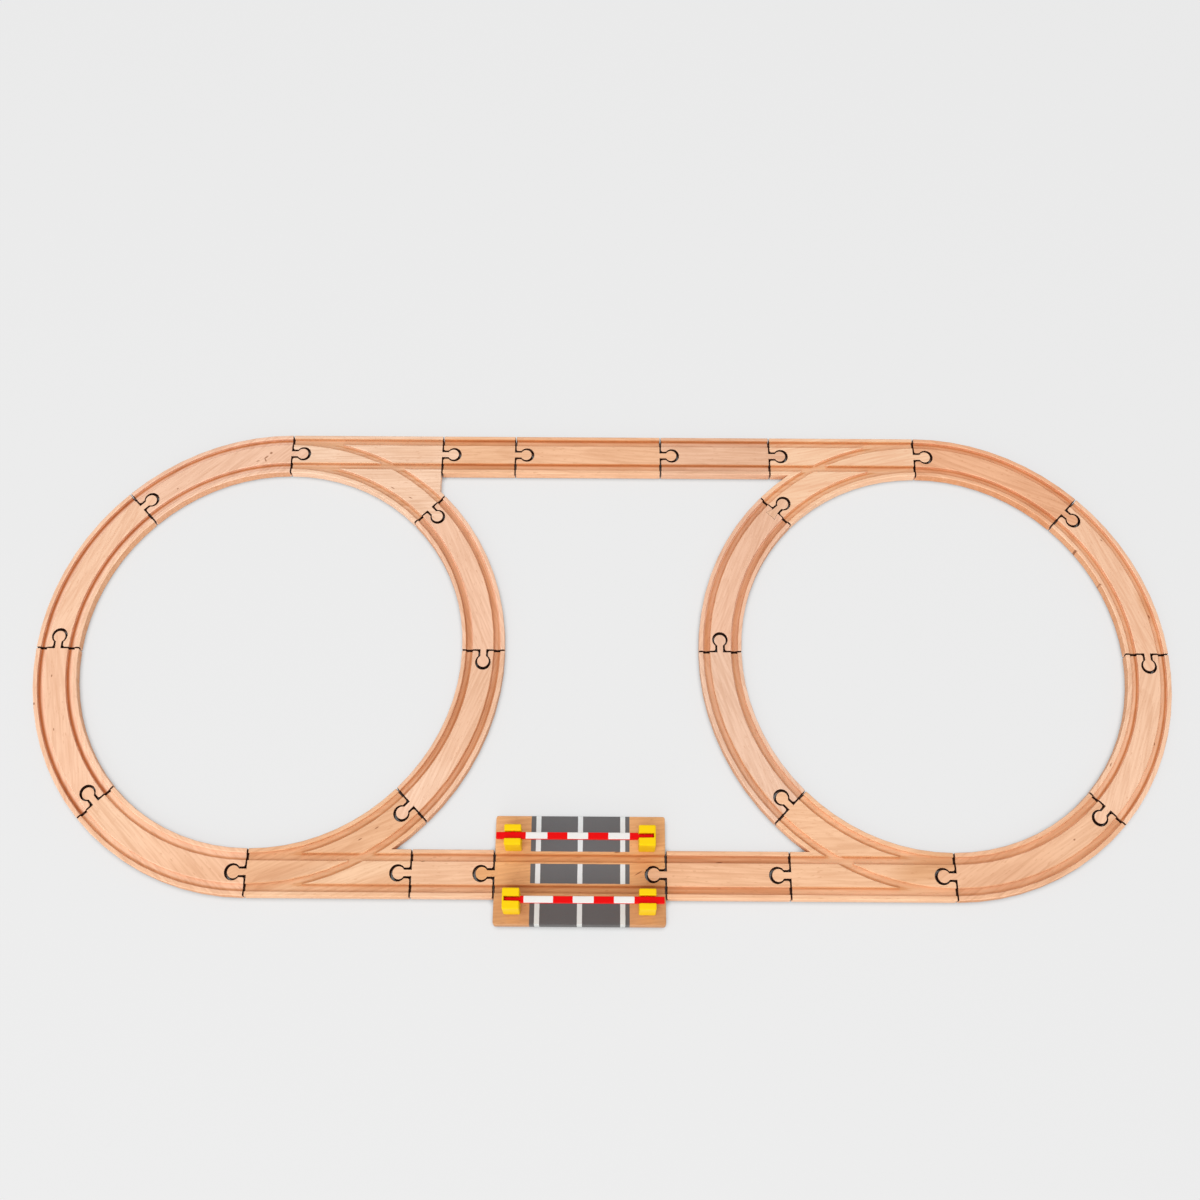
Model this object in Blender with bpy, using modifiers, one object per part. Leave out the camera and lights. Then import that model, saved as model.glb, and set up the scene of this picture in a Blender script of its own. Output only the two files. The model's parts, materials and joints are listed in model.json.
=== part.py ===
"""Wooden toy train track: two rings of track joined by two straight runs, with a level crossing.

Every wooden piece has a round peg at one end and a keyhole socket at the other, and the pegs all point
clockwise round the layout. The layout lies on the XY plane with +Y to the north and its underside at z = 0.
"""

import itertools
import math

import bmesh
import bpy
from mathutils import Matrix, Vector

# Driving dimensions of the track section, in metres
GROOVE_WIDTH = 0.006
GROOVE_DEPTH = 0.003
GROOVE_SPACING = 0.026
SHOULDER_WIDTH = 0.004
TRACK_THICKNESS = 0.012

# Driving dimensions of the pieces, along their centre lines
CURVE_RADIUS = 0.199
SHORT_LENGTH = 0.072
MEDIUM_LENGTH = 0.108
LONG_LENGTH = 0.144
TURNOUT_LENGTH = 0.144
WEBBED_TURNOUT_LENGTH = 0.150

# Driving dimensions of the joints between the pieces
JOINT_GAP = 0.0009
PEG_HEAD_DIAMETER = 0.0116
PEG_NECK_WIDTH = 0.006
PEG_REACH = 0.011
PEG_CLEARANCE = 0.0003
SOCKET_PLAY = 0.0009
SOCKET_LIP_RADIUS = 0.002
INLAY_DEPTH = 0.0065
INLAY_WIDTH = 0.0105
SEAT_GAP = 0.0003

# Driving dimensions of the level crossing
BOARD_CORNER_RADIUS = 0.002
NORTH_MARGIN = 0.013
SOUTH_MARGIN = 0.008
POST_LENGTH = 0.0148
POST_WIDTH = 0.0175
POST_FLOOR = 0.008
POST_EDGE_RADIUS = 0.0012
POST_END_INSET = 0.0164
NORTH_POST_SETBACK = 0.0026
SOUTH_POST_SETBACK = 0.0005
SPIGOT_DIAMETER = 0.008
SPIGOT_LENGTH = 0.006
REST_WALL = 0.0015
ARM_WIDTH = 0.0055
ARM_HEIGHT = 0.005
ARM_DROP = 0.004
ARM_BUTT_OVERHANG = 0.007
ARM_SIDE_CLEARANCE = 0.0005
TONGUE_WIDTH = 0.003
TRUNNION_DIAMETER = 0.0032
TRUNNION_LENGTH = 0.0025

# How many pieces close a ring, an even number, and counts that set how round the pieces are
RING_PIECES = 8
ARC_SEGMENTS = 9
HEAD_SEGMENTS = 16
LIP_SEGMENTS = 3
POST_EDGE_SEGMENTS = 3
ROUND_SIDES = 20

# How far a cutter reaches past the surface that it cuts, and how close two points are welded
OVERSHOOT = GROOVE_DEPTH
WELD_DISTANCE = SEAT_GAP / 100

# Sizes worked out from the driving dimensions. A peg lies loose in its socket, with most room past its head.
CURVE_ANGLE = 2 * math.pi / RING_PIECES
TRACK_HALF_WIDTH = GROOVE_SPACING / 2 + GROOVE_WIDTH / 2 + SHOULDER_WIDTH
GROOVE_OUTER_EDGE = GROOVE_SPACING / 2 + GROOVE_WIDTH / 2
CROSSING_LENGTH = WEBBED_TURNOUT_LENGTH + LONG_LENGTH - TURNOUT_LENGTH
PEG_SIDE_GAP = PEG_CLEARANCE + SOCKET_PLAY
SOCKET_RADIUS = PEG_HEAD_DIAMETER / 2 + PEG_SIDE_GAP
SOCKET_HALF_SLOT = PEG_NECK_WIDTH / 2 + PEG_SIDE_GAP
SOCKET_DEPTH = PEG_REACH - JOINT_GAP + SOCKET_PLAY
THROAT_LENGTH = SOCKET_DEPTH - math.sqrt(SOCKET_RADIUS**2 - SOCKET_HALF_SLOT**2)
LIP_RADIUS = min(SOCKET_LIP_RADIUS, THROAT_LENGTH / 2)

# Each ring piece stands off the ring's centre so that its end faces keep the joint gap
RING_STANDOFF = JOINT_GAP / (2 * math.sin(CURVE_ANGLE / 2))
RUN_OFFSET = CURVE_RADIUS + RING_STANDOFF * math.cos(CURVE_ANGLE / 2)
TOP_RUN_LENGTHS = (WEBBED_TURNOUT_LENGTH, SHORT_LENGTH, LONG_LENGTH, MEDIUM_LENGTH, TURNOUT_LENGTH)
RING_SPACING = sum(TOP_RUN_LENGTHS) + len(TOP_RUN_LENGTHS) * JOINT_GAP

# Crossing sizes that follow from the pieces which pass through or seat on each other
NORTH_POST_OFFSET = GROOVE_OUTER_EDGE + NORTH_POST_SETBACK + POST_WIDTH / 2
SOUTH_POST_OFFSET = GROOVE_OUTER_EDGE + SOUTH_POST_SETBACK + POST_WIDTH / 2
BOARD_NORTH = NORTH_POST_OFFSET + POST_WIDTH / 2 + NORTH_MARGIN
BOARD_SOUTH = SOUTH_POST_OFFSET + POST_WIDTH / 2 + SOUTH_MARGIN
POST_SPACING = CROSSING_LENGTH - 2 * POST_END_INSET
ARM_BUTT = POST_LENGTH / 2 + ARM_BUTT_OVERHANG
BUTT_SWEEP = math.hypot(ARM_BUTT, ARM_HEIGHT / 2) + ARM_SIDE_CLEARANCE
PIVOT_HEIGHT = POST_FLOOR + BUTT_SWEEP
POST_HEIGHT = PIVOT_HEIGHT + ARM_HEIGHT / 2 + ARM_DROP
POST_BASE = TRACK_THICKNESS + SEAT_GAP
REST_FLOOR = PIVOT_HEIGHT - ARM_HEIGHT / 2 - SEAT_GAP
REST_SLOT_END = POST_LENGTH / 2 - REST_WALL
TONGUE_TIP = POST_SPACING + REST_SLOT_END - ARM_SIDE_CLEARANCE
TONGUE_START = POST_SPACING - POST_LENGTH / 2 - ARM_SIDE_CLEARANCE
PIVOT_SLOT_WIDTH = ARM_WIDTH + 2 * ARM_SIDE_CLEARANCE
REST_SLOT_WIDTH = TONGUE_WIDTH + 2 * ARM_SIDE_CLEARANCE

# The layout is moved north so that its box is centred on the origin
LAYOUT_SHIFT = (BOARD_SOUTH - TRACK_HALF_WIDTH) / 2

# Colours as 8-bit screen values
BEECH_ROUGHNESS = 0.55
PLASTIC_ROUGHNESS = 0.3
PALE_BEECH = (241, 195, 162)
WARM_BEECH = (238, 184, 144)
PINK_BEECH = (235, 183, 152)
HONEY_BEECH = (232, 177, 133)
TAN_BEECH = (222, 160, 110)
POST_YELLOW = (250, 208, 10)
ARM_RED = (226, 16, 20)


def clear_scene():
    """Remove whatever the scene holds."""
    for item in list(bpy.data.objects):
        bpy.data.objects.remove(item, do_unlink=True)


def new_collection(name):
    """A collection linked to the scene."""
    collection = bpy.data.collections.new(name)
    bpy.context.scene.collection.children.link(collection)
    return collection


def linear(value):
    """One 8-bit screen value as a linear colour value."""
    share = value / 255
    if share <= 0.04045:
        return share / 12.92
    return ((share + 0.055) / 1.055) ** 2.4


def new_material(name, colour, roughness):
    """A plain Principled material."""
    material = bpy.data.materials.new(name)
    material.use_nodes = True
    shader = material.node_tree.nodes["Principled BSDF"]
    shader.inputs["Base Color"].default_value = [linear(value) for value in colour] + [1.0]
    shader.inputs["Roughness"].default_value = roughness
    shader.inputs["Metallic"].default_value = 0.0
    return material


# Flat outlines, as points in order round the piece with its inside on the left

def arc(centre, radius, start, end, segments=ARC_SEGMENTS):
    """Points along an arc, both ends included. Angles are from +X."""
    points = []
    for step in range(segments + 1):
        angle = start + (end - start) * step / segments
        points.append(centre + radius * Vector((math.cos(angle), math.sin(angle))))
    return points


def keyhole(half_neck, radius, reach, side):
    """The round part of a peg (side 1) or of a socket (side -1), as (across, outward) points."""
    opening = math.asin(half_neck / radius)
    points = []
    for step in range(HEAD_SEGMENTS + 1):
        turn = opening + (2 * math.pi - 2 * opening) * step / HEAD_SEGMENTS
        points.append((-radius * math.sin(turn), side * (reach - radius * math.cos(turn))))
    return points


def peg_profile():
    """A peg that stands out of an end face."""
    half_neck = PEG_NECK_WIDTH / 2
    head = keyhole(half_neck, PEG_HEAD_DIAMETER / 2, PEG_REACH, 1)
    return [(-half_neck, 0.0)] + head + [(half_neck, 0.0)]


def socket_profile():
    """A keyhole socket with a rounded lip, cut into an end face."""
    lip = []
    for step in range(LIP_SEGMENTS + 1):
        turn = math.pi / 2 * step / LIP_SEGMENTS
        across = SOCKET_HALF_SLOT + LIP_RADIUS * (1 - math.sin(turn))
        lip.append((-across, LIP_RADIUS * (math.cos(turn) - 1)))
    far_lip = [(-across, outward) for across, outward in reversed(lip)]
    return lip + keyhole(SOCKET_HALF_SLOT, SOCKET_RADIUS, SOCKET_DEPTH, -1) + far_lip


def pocket_profile():
    """A dovetail pocket for the inlaid peg, cut into an end face."""
    half_mouth = PEG_NECK_WIDTH / 2 + SEAT_GAP
    half_floor = INLAY_WIDTH / 2 + SEAT_GAP
    depth = INLAY_DEPTH + SEAT_GAP
    return [(-half_mouth, 0.0), (-half_floor, -depth), (half_floor, -depth), (half_mouth, 0.0)]


END_PROFILES = {"peg": peg_profile, "socket": socket_profile, "pocket": pocket_profile}


def end_face(kind, position, heading, right=TRACK_HALF_WIDTH, left=TRACK_HALF_WIDTH):
    """The end of a piece that faces along heading, from its right corner to its left corner."""
    outward = Vector((math.cos(heading), math.sin(heading)))
    across = Vector((-outward.y, outward.x))
    profile = [(-right, 0.0)] + END_PROFILES[kind]() + [(left, 0.0)]
    return [position + across * side + outward * reach for side, reach in profile]


def straight_outline(length, start_kind, end_kind):
    """A straight piece that starts at the origin and runs along +X."""
    start = end_face(start_kind, Vector((0.0, 0.0)), math.pi)
    return start + end_face(end_kind, Vector((length, 0.0)), 0.0)


def curve_end():
    """Where the centre line of a right-hand curve ends."""
    return CURVE_RADIUS * Vector((math.sin(CURVE_ANGLE), math.cos(CURVE_ANGLE) - 1))


def curve_outline(start_kind, end_kind):
    """A right-hand curve that starts at the origin, heading along +X."""
    centre = Vector((0.0, -CURVE_RADIUS))
    finish = math.pi / 2 - CURVE_ANGLE
    start = end_face(start_kind, Vector((0.0, 0.0)), math.pi)
    inner = arc(centre, CURVE_RADIUS - TRACK_HALF_WIDTH, math.pi / 2, finish)
    end = end_face(end_kind, curve_end(), -CURVE_ANGLE)
    outer = arc(centre, CURVE_RADIUS + TRACK_HALF_WIDTH, finish, math.pi / 2)
    return start + inner[1:-1] + end + outer[1:-1]


def turnout_outline(length, common_kind, exit_kind, webbed):
    """A right-hand turnout: a straight and a right-hand curve from one common end at the origin.

    A webbed turnout fills the corner between its two exits. Any other leaves an open notch there.
    """
    centre = Vector((0.0, -CURVE_RADIUS))
    finish = math.pi / 2 - CURVE_ANGLE
    inner_radius = CURVE_RADIUS - TRACK_HALF_WIDTH
    outer_radius = CURVE_RADIUS + TRACK_HALF_WIDTH

    # The branch's outer edge runs back to the plane of the straight exit, or to the notch before it
    meeting = math.acos(min(length / outer_radius, math.cos(finish)))
    if not webbed:
        meeting = max(meeting, math.asin(inner_radius / outer_radius))
    outer_segments = max(2, round(ARC_SEGMENTS * (meeting - finish) / CURVE_ANGLE))
    exit_right = min(TRACK_HALF_WIDTH, CURVE_RADIUS - outer_radius * math.sin(meeting))

    common = end_face(common_kind, Vector((0.0, 0.0)), math.pi)
    inner = arc(centre, inner_radius, math.pi / 2, finish)
    branch = end_face(exit_kind, curve_end(), -CURVE_ANGLE)
    outer = arc(centre, outer_radius, finish, meeting, outer_segments)
    straight = end_face(exit_kind, Vector((length, 0.0)), 0.0, exit_right)
    return without_repeats(common + inner[1:-1] + branch + outer[1:] + straight)


def without_repeats(outline):
    """An outline with no point on top of the one before it."""
    before = outline[-1:] + outline[:-1]
    return [point for point, last in zip(outline, before) if (point - last).length > WELD_DISTANCE]


def rounded_corner(corner, back, onward):
    """An arc in place of a square corner, given the directions of its two edges away from it."""
    centre = corner + BOARD_CORNER_RADIUS * (back + onward)
    points = []
    for step in range(LIP_SEGMENTS + 1):
        turn = math.pi / 2 * step / LIP_SEGMENTS
        points.append(centre - BOARD_CORNER_RADIUS * (onward * math.cos(turn) + back * math.sin(turn)))
    return points


def board_outline():
    """The crossing board. It runs along +X, with the layout's south side at +Y."""
    east = Vector((1.0, 0.0))
    south = Vector((0.0, 1.0))
    start = end_face("socket", Vector((0.0, 0.0)), math.pi, BOARD_SOUTH, BOARD_NORTH)[1:-1]
    finish = end_face("peg", Vector((CROSSING_LENGTH, 0.0)), 0.0, BOARD_NORTH, BOARD_SOUTH)[1:-1]
    outline = rounded_corner(Vector((0.0, BOARD_SOUTH)), east, -south) + start
    outline += rounded_corner(Vector((0.0, -BOARD_NORTH)), south, east)
    outline += rounded_corner(Vector((CROSSING_LENGTH, -BOARD_NORTH)), -east, south) + finish
    return outline + rounded_corner(Vector((CROSSING_LENGTH, BOARD_SOUTH)), -south, -east)


def inlay_outline():
    """The inlaid peg: a dovetail tail behind the end face and a peg head in front of it."""
    tail = [(INLAY_WIDTH / 2, -INLAY_DEPTH), (-INLAY_WIDTH / 2, -INLAY_DEPTH)]
    return [Vector((outward, across)) for across, outward in peg_profile() + tail]


def arm_outline():
    """A barrier arm seen from above, with its pivot at the origin and its tongue along +X."""
    half_bar = ARM_WIDTH / 2
    half_tongue = TONGUE_WIDTH / 2
    south_side = [(-ARM_BUTT, -half_bar), (TONGUE_START, -half_bar)]
    south_side += [(TONGUE_START, -half_tongue), (TONGUE_TIP, -half_tongue)]
    north_side = [(along, -across) for along, across in reversed(south_side)]
    return [Vector(point) for point in south_side + north_side]


def mirrored(outline):
    """An outline reflected from one hand to the other, still with its inside on the left."""
    return [Vector((point.x, -point.y)) for point in reversed(outline)]


# Solids

def tidy(mesh):
    """Weld a mesh and point its faces outward."""
    shell = bmesh.new()
    shell.from_mesh(mesh)
    bmesh.ops.remove_doubles(shell, verts=shell.verts, dist=WELD_DISTANCE)
    bmesh.ops.recalc_face_normals(shell, faces=shell.faces)
    shell.to_mesh(mesh)
    shell.free()
    return mesh


def bake(item):
    """The evaluated mesh of an object that is then removed."""
    depsgraph = bpy.context.evaluated_depsgraph_get()
    mesh = bpy.data.meshes.new_from_object(item.evaluated_get(depsgraph), depsgraph=depsgraph)
    mesh.name = item.name
    bpy.data.objects.remove(item, do_unlink=True)
    return tidy(mesh)


def workpiece(name, data):
    """An object in the workshop collection, for shaping."""
    item = bpy.data.objects.new(name, data)
    WORKSHOP.objects.link(item)
    item.hide_render = True
    item.display_type = "WIRE"
    return item


def slab(name, outline, low, high):
    """A flat outline as a solid between two heights."""
    curve = bpy.data.curves.new(name, "CURVE")
    curve.dimensions = "2D"
    curve.fill_mode = "BOTH"
    curve.extrude = (high - low) / 2
    spline = curve.splines.new("POLY")
    spline.points.add(len(outline) - 1)
    for spot, point in zip(spline.points, outline):
        spot.co = (point.x, point.y, 0.0, 1.0)
    spline.use_cyclic_u = True
    mesh = bake(workpiece(name, curve))
    mesh.transform(Matrix.Translation((0.0, 0.0, (low + high) / 2)))
    return workpiece(name, mesh)


def block(name, low, high):
    """A box between two corners."""
    mesh = bpy.data.meshes.new(name)
    shape = bmesh.new()
    bmesh.ops.create_cube(shape, size=1.0)
    size = Vector(high) - Vector(low)
    middle = (Vector(high) + Vector(low)) / 2
    bmesh.ops.transform(shape, matrix=Matrix.LocRotScale(middle, None, size), verts=shape.verts)
    shape.to_mesh(mesh)
    shape.free()
    return workpiece(name, mesh)


def cylinder(name, diameter, length, middle, turn):
    """A round bar centred on a point. Unturned, it stands along Z."""
    mesh = bpy.data.meshes.new(name)
    shape = bmesh.new()
    radius = diameter / 2
    bmesh.ops.create_cone(
        shape, cap_ends=True, segments=ROUND_SIDES, radius1=radius, radius2=radius, depth=length)
    bmesh.ops.transform(shape, matrix=Matrix.Translation(middle) @ turn, verts=shape.verts)
    shape.to_mesh(mesh)
    shape.free()
    return workpiece(name, mesh)


def combine(item, tools, operation):
    """Cut an object with its tools, or join them to it, and return its mesh."""
    for tool in tools:
        boolean = item.modifiers.new(tool.name, "BOOLEAN")
        boolean.operation = operation
        boolean.solver = "EXACT"
        boolean.object = tool
    bpy.context.view_layer.update()
    mesh = bake(item)
    for tool in tools:
        bpy.data.objects.remove(tool, do_unlink=True)
    return mesh


def straight_grooves(length):
    """Cutters for the two grooves of a straight along +X."""
    cutters = []
    for side in (-1, 1):
        middle = side * GROOVE_SPACING / 2
        low = (-OVERSHOOT, middle - GROOVE_WIDTH / 2, TRACK_THICKNESS - GROOVE_DEPTH)
        high = (length + OVERSHOOT, middle + GROOVE_WIDTH / 2, TRACK_THICKNESS + OVERSHOOT)
        cutters.append(block("straight_groove", low, high))
    return cutters


def curved_grooves(hand):
    """Cutters for the two grooves of a right-hand curve (hand 1) or of a left-hand one (hand -1)."""
    centre = Vector((0.0, -CURVE_RADIUS))
    finish = math.pi / 2 - CURVE_ANGLE
    lead_in = Vector((-OVERSHOOT, 0.0))
    lead_out = OVERSHOOT * Vector((math.cos(CURVE_ANGLE), -math.sin(CURVE_ANGLE)))
    cutters = []
    for side in (-1, 1):
        middle = CURVE_RADIUS + side * GROOVE_SPACING / 2
        near = arc(centre, middle - GROOVE_WIDTH / 2, math.pi / 2, finish)
        far = arc(centre, middle + GROOVE_WIDTH / 2, finish, math.pi / 2)
        outline = [near[0] + lead_in] + near + [near[-1] + lead_out]
        outline += [far[0] + lead_out] + far + [far[-1] + lead_in]
        if hand < 0:
            outline = mirrored(outline)
        low = TRACK_THICKNESS - GROOVE_DEPTH
        cutters.append(slab("curved_groove", outline, low, TRACK_THICKNESS + OVERSHOOT))
    return cutters


def track_mesh(name, outline, grooves):
    """One piece of track: its outline as a slab, with the wheel grooves cut in its top."""
    return combine(slab(name, outline, 0.0, TRACK_THICKNESS), grooves, "DIFFERENCE")


def straight_mesh(name, length):
    """A straight with its socket at the start and its peg at the end."""
    return track_mesh(name, straight_outline(length, "socket", "peg"), straight_grooves(length))


def curve_mesh(name, end_kind):
    """A right-hand curve with its socket at the start."""
    return track_mesh(name, curve_outline("socket", end_kind), curved_grooves(1))


def turnout_mesh(name, length, hand, common_kind, exit_kind, webbed):
    """A turnout whose branch leaves to the right (hand 1) or to the left (hand -1)."""
    outline = turnout_outline(length, common_kind, exit_kind, webbed)
    if hand < 0:
        outline = mirrored(outline)
    return track_mesh(name, outline, straight_grooves(length) + curved_grooves(hand))


def post_places():
    """Where the four posts stand on the board's own axes: north is +Y and east is +X."""
    half = POST_SPACING / 2
    return {
        "north_pivot_post": Vector((-half, NORTH_POST_OFFSET, 0.0)),
        "north_rest_post": Vector((half, NORTH_POST_OFFSET, 0.0)),
        "south_rest_post": Vector((-half, -SOUTH_POST_OFFSET, 0.0)),
        "south_pivot_post": Vector((half, -SOUTH_POST_OFFSET, 0.0)),
    }


def board_mesh():
    """The crossing board: grooves for the wheels and a blind hole for each post's spigot."""
    cutters = straight_grooves(CROSSING_LENGTH)
    hole_diameter = SPIGOT_DIAMETER + 2 * SEAT_GAP
    hole_depth = SPIGOT_LENGTH + SEAT_GAP
    hole_length = hole_depth + OVERSHOOT
    hole_middle = TRACK_THICKNESS - hole_depth + hole_length / 2
    for place in post_places().values():
        middle = (CROSSING_LENGTH / 2 - place.x, -place.y, hole_middle)
        cutters.append(cylinder("spigot_hole", hole_diameter, hole_length, middle, Matrix()))
    return track_mesh("level_crossing_board", board_outline(), cutters)


def post_body(name):
    """A post with soft edges and its spigot, standing on the origin, before its slot is cut."""
    half_length = POST_LENGTH / 2
    half_width = POST_WIDTH / 2
    body = block(name, (-half_length, -half_width, 0.0), (half_length, half_width, POST_HEIGHT))
    bevel = body.modifiers.new("soft edges", "BEVEL")
    bevel.width = POST_EDGE_RADIUS
    bevel.segments = POST_EDGE_SEGMENTS
    bevel.limit_method = "ANGLE"
    spigot_length = SPIGOT_LENGTH + POST_FLOOR / 2
    spigot_middle = (0.0, 0.0, spigot_length / 2 - SPIGOT_LENGTH)
    spigot = cylinder("spigot", SPIGOT_DIAMETER, spigot_length, spigot_middle, Matrix())
    return workpiece(name, combine(body, [spigot], "UNION"))


def pivot_post_mesh():
    """A post with a slot right through it, and a bearing hole in each cheek for the arm's trunnions."""
    reach = POST_LENGTH / 2 + OVERSHOOT
    half_slot = PIVOT_SLOT_WIDTH / 2
    slot_top = POST_HEIGHT + OVERSHOOT
    slot = block("pivot_slot", (-reach, -half_slot, POST_FLOOR), (reach, half_slot, slot_top))
    bearing_diameter = TRUNNION_DIAMETER + 2 * SEAT_GAP
    bearing_length = ARM_WIDTH + 2 * (TRUNNION_LENGTH + SEAT_GAP)
    sideways = Matrix.Rotation(math.pi / 2, 4, "X")
    bearing = cylinder("bearing", bearing_diameter, bearing_length, (0.0, 0.0, PIVOT_HEIGHT), sideways)
    return combine(post_body("pivot_post"), [slot, bearing], "DIFFERENCE")


def rest_post_mesh():
    """A post with a shallow slot that is closed at its outer end, along +X."""
    half_slot = REST_SLOT_WIDTH / 2
    low = (-POST_LENGTH / 2 - OVERSHOOT, -half_slot, REST_FLOOR)
    slot = block("rest_slot", low, (REST_SLOT_END, half_slot, POST_HEIGHT + OVERSHOOT))
    return combine(post_body("rest_post"), [slot], "DIFFERENCE")


def arm_mesh():
    """A barrier arm with its trunnions, about its pivot."""
    bar = slab("barrier_arm", arm_outline(), -ARM_HEIGHT / 2, ARM_HEIGHT / 2)
    sideways = Matrix.Rotation(math.pi / 2, 4, "X")
    trunnion_span = ARM_WIDTH + 2 * TRUNNION_LENGTH
    trunnions = cylinder("trunnions", TRUNNION_DIAMETER, trunnion_span, (0.0, 0.0, 0.0), sideways)
    return combine(bar, [trunnions], "UNION")


# The layout

def add_piece(name, mesh, position, heading, colour, roughness=BEECH_ROUGHNESS):
    """Place one piece of the layout, turned by heading about Z."""
    item = bpy.data.objects.new(name, mesh)
    PIECES.objects.link(item)
    item.parent = LAYOUT
    item.location = Vector(position).to_3d()
    item.rotation_euler = (0.0, 0.0, heading)
    mesh.shade_smooth()
    mesh.set_sharp_from_angle(angle=math.radians(30))
    if not mesh.materials:
        mesh.materials.append(None)
    item.material_slots[0].link = "OBJECT"
    item.material_slots[0].material = new_material(name, colour, roughness)
    return item


def ring_start(centre, index):
    """Where a ring's piece starts, and its heading, counted clockwise from the ring's top."""
    angle = math.pi / 2 - index * CURVE_ANGLE
    middle = angle - CURVE_ANGLE / 2
    position = centre + CURVE_RADIUS * Vector((math.cos(angle), math.sin(angle)))
    position += RING_STANDOFF * Vector((math.cos(middle), math.sin(middle)))
    return position, angle - math.pi / 2


def add_ring_curves(side, centre, turnout_places, meshes, tones):
    """Place one ring's curves, past the places that turnouts fill. The last mesh is for the last curve."""
    places = [place for place in range(RING_PIECES) if place not in turnout_places]
    for number, (place, tone) in enumerate(zip(places, itertools.cycle(tones)), start=1):
        mesh = meshes[1] if place == places[-1] else meshes[0]
        position, heading = ring_start(centre, place)
        curve = add_piece(f"{side}_curve_{number}", mesh, position, heading, tone)
    return curve


def add_inlaid_peg(curve):
    """Place the inlaid peg in the end of a curve."""
    heading = curve.rotation_euler.z
    end = curve.location.xy + Matrix.Rotation(heading, 2) @ curve_end()
    mesh = bake(slab("inlaid_peg", inlay_outline(), 0.0, TRACK_THICKNESS))
    add_piece("inlaid_peg", mesh, end, heading - CURVE_ANGLE, PALE_BEECH)


def add_run(start_x, y, direction, pieces):
    """Place straight pieces in a line from an end of the run, and return where each one starts."""
    heading = 0.0 if direction > 0 else math.pi
    along = start_x + direction * JOINT_GAP / 2
    starts = {}
    for name, mesh, length, tone in pieces:
        add_piece(name, mesh, (along, y), heading, tone)
        starts[name] = along
        along += direction * (length + JOINT_GAP)
    return starts


def add_crossing_furniture(centre):
    """Place the posts on the board and hang the barrier arms in them."""
    pivot_post = pivot_post_mesh()
    rest_post = rest_post_mesh()
    arm = arm_mesh()
    for name, place in post_places().items():
        mesh = pivot_post if "pivot" in name else rest_post
        heading = 0.0 if "north" in name else math.pi
        position = centre + place + Vector((0.0, 0.0, POST_BASE))
        add_piece(name, mesh, position, heading, POST_YELLOW, PLASTIC_ROUGHNESS)
        if mesh is pivot_post:
            pivot = position + Vector((0.0, 0.0, PIVOT_HEIGHT))
            arm_name = name.replace("pivot_post", "barrier_arm")
            add_piece(arm_name, arm, pivot, heading, ARM_RED, PLASTIC_ROUGHNESS)


def build():
    """Lay out the whole track."""
    left_centre = Vector((-RING_SPACING / 2, 0.0))
    right_centre = Vector((RING_SPACING / 2, 0.0))
    half_ring = RING_PIECES // 2
    curve = curve_mesh("curve", "peg")
    pocketed = curve_mesh("pocketed_curve", "pocket")
    left_tones = (PALE_BEECH, PINK_BEECH, WARM_BEECH, WARM_BEECH, PALE_BEECH, PALE_BEECH)
    right_tones = (PALE_BEECH, PALE_BEECH, WARM_BEECH, WARM_BEECH, PINK_BEECH, PALE_BEECH)
    add_ring_curves("left", left_centre, (0, half_ring - 1), (curve, curve), left_tones)
    right_places = (half_ring, RING_PIECES - 1)
    add_inlaid_peg(add_ring_curves("right", right_centre, right_places, (curve, pocketed), right_tones))

    webbed = turnout_mesh("webbed_turnout", WEBBED_TURNOUT_LENGTH, 1, "socket", "peg", True)
    right_hand = turnout_mesh("right_turnout", TURNOUT_LENGTH, 1, "socket", "peg", False)
    left_hand = turnout_mesh("left_turnout", TURNOUT_LENGTH, -1, "peg", "socket", False)
    short = straight_mesh("short_straight", SHORT_LENGTH)
    medium = straight_mesh("medium_straight", MEDIUM_LENGTH)
    long = straight_mesh("long_straight", LONG_LENGTH)

    top_run = (
        ("top_left_turnout", webbed, WEBBED_TURNOUT_LENGTH, WARM_BEECH),
        ("top_short_straight", short, SHORT_LENGTH, WARM_BEECH),
        ("top_long_straight", long, LONG_LENGTH, WARM_BEECH),
        ("top_medium_straight", medium, MEDIUM_LENGTH, PINK_BEECH),
    )
    bottom_run = (
        ("bottom_right_turnout", right_hand, TURNOUT_LENGTH, PALE_BEECH),
        ("bottom_medium_straight", medium, MEDIUM_LENGTH, WARM_BEECH),
        ("level_crossing_board", board_mesh(), CROSSING_LENGTH, TAN_BEECH),
        ("bottom_short_straight", short, SHORT_LENGTH, WARM_BEECH),
    )
    top_end = (("top_right_turnout", left_hand, TURNOUT_LENGTH, PALE_BEECH),)
    bottom_end = (("bottom_left_turnout", left_hand, TURNOUT_LENGTH, HONEY_BEECH),)
    add_run(left_centre.x, RUN_OFFSET, 1, top_run)
    add_run(right_centre.x, RUN_OFFSET, -1, top_end)
    add_run(left_centre.x, -RUN_OFFSET, 1, bottom_end)
    starts = add_run(right_centre.x, -RUN_OFFSET, -1, bottom_run)
    crossing_middle = starts["level_crossing_board"] - CROSSING_LENGTH / 2
    add_crossing_furniture(Vector((crossing_middle, -RUN_OFFSET, 0.0)))


clear_scene()
PIECES = new_collection("wooden_train_track")
WORKSHOP = new_collection("cutters")
LAYOUT = bpy.data.objects.new("layout", None)
PIECES.objects.link(LAYOUT)
LAYOUT.location = (0.0, LAYOUT_SHIFT, 0.0)
build()
bpy.context.view_layer.update()
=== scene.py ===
import json
import math

import bmesh
import bpy
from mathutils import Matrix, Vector
from mathutils.bvhtree import BVHTree


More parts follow.
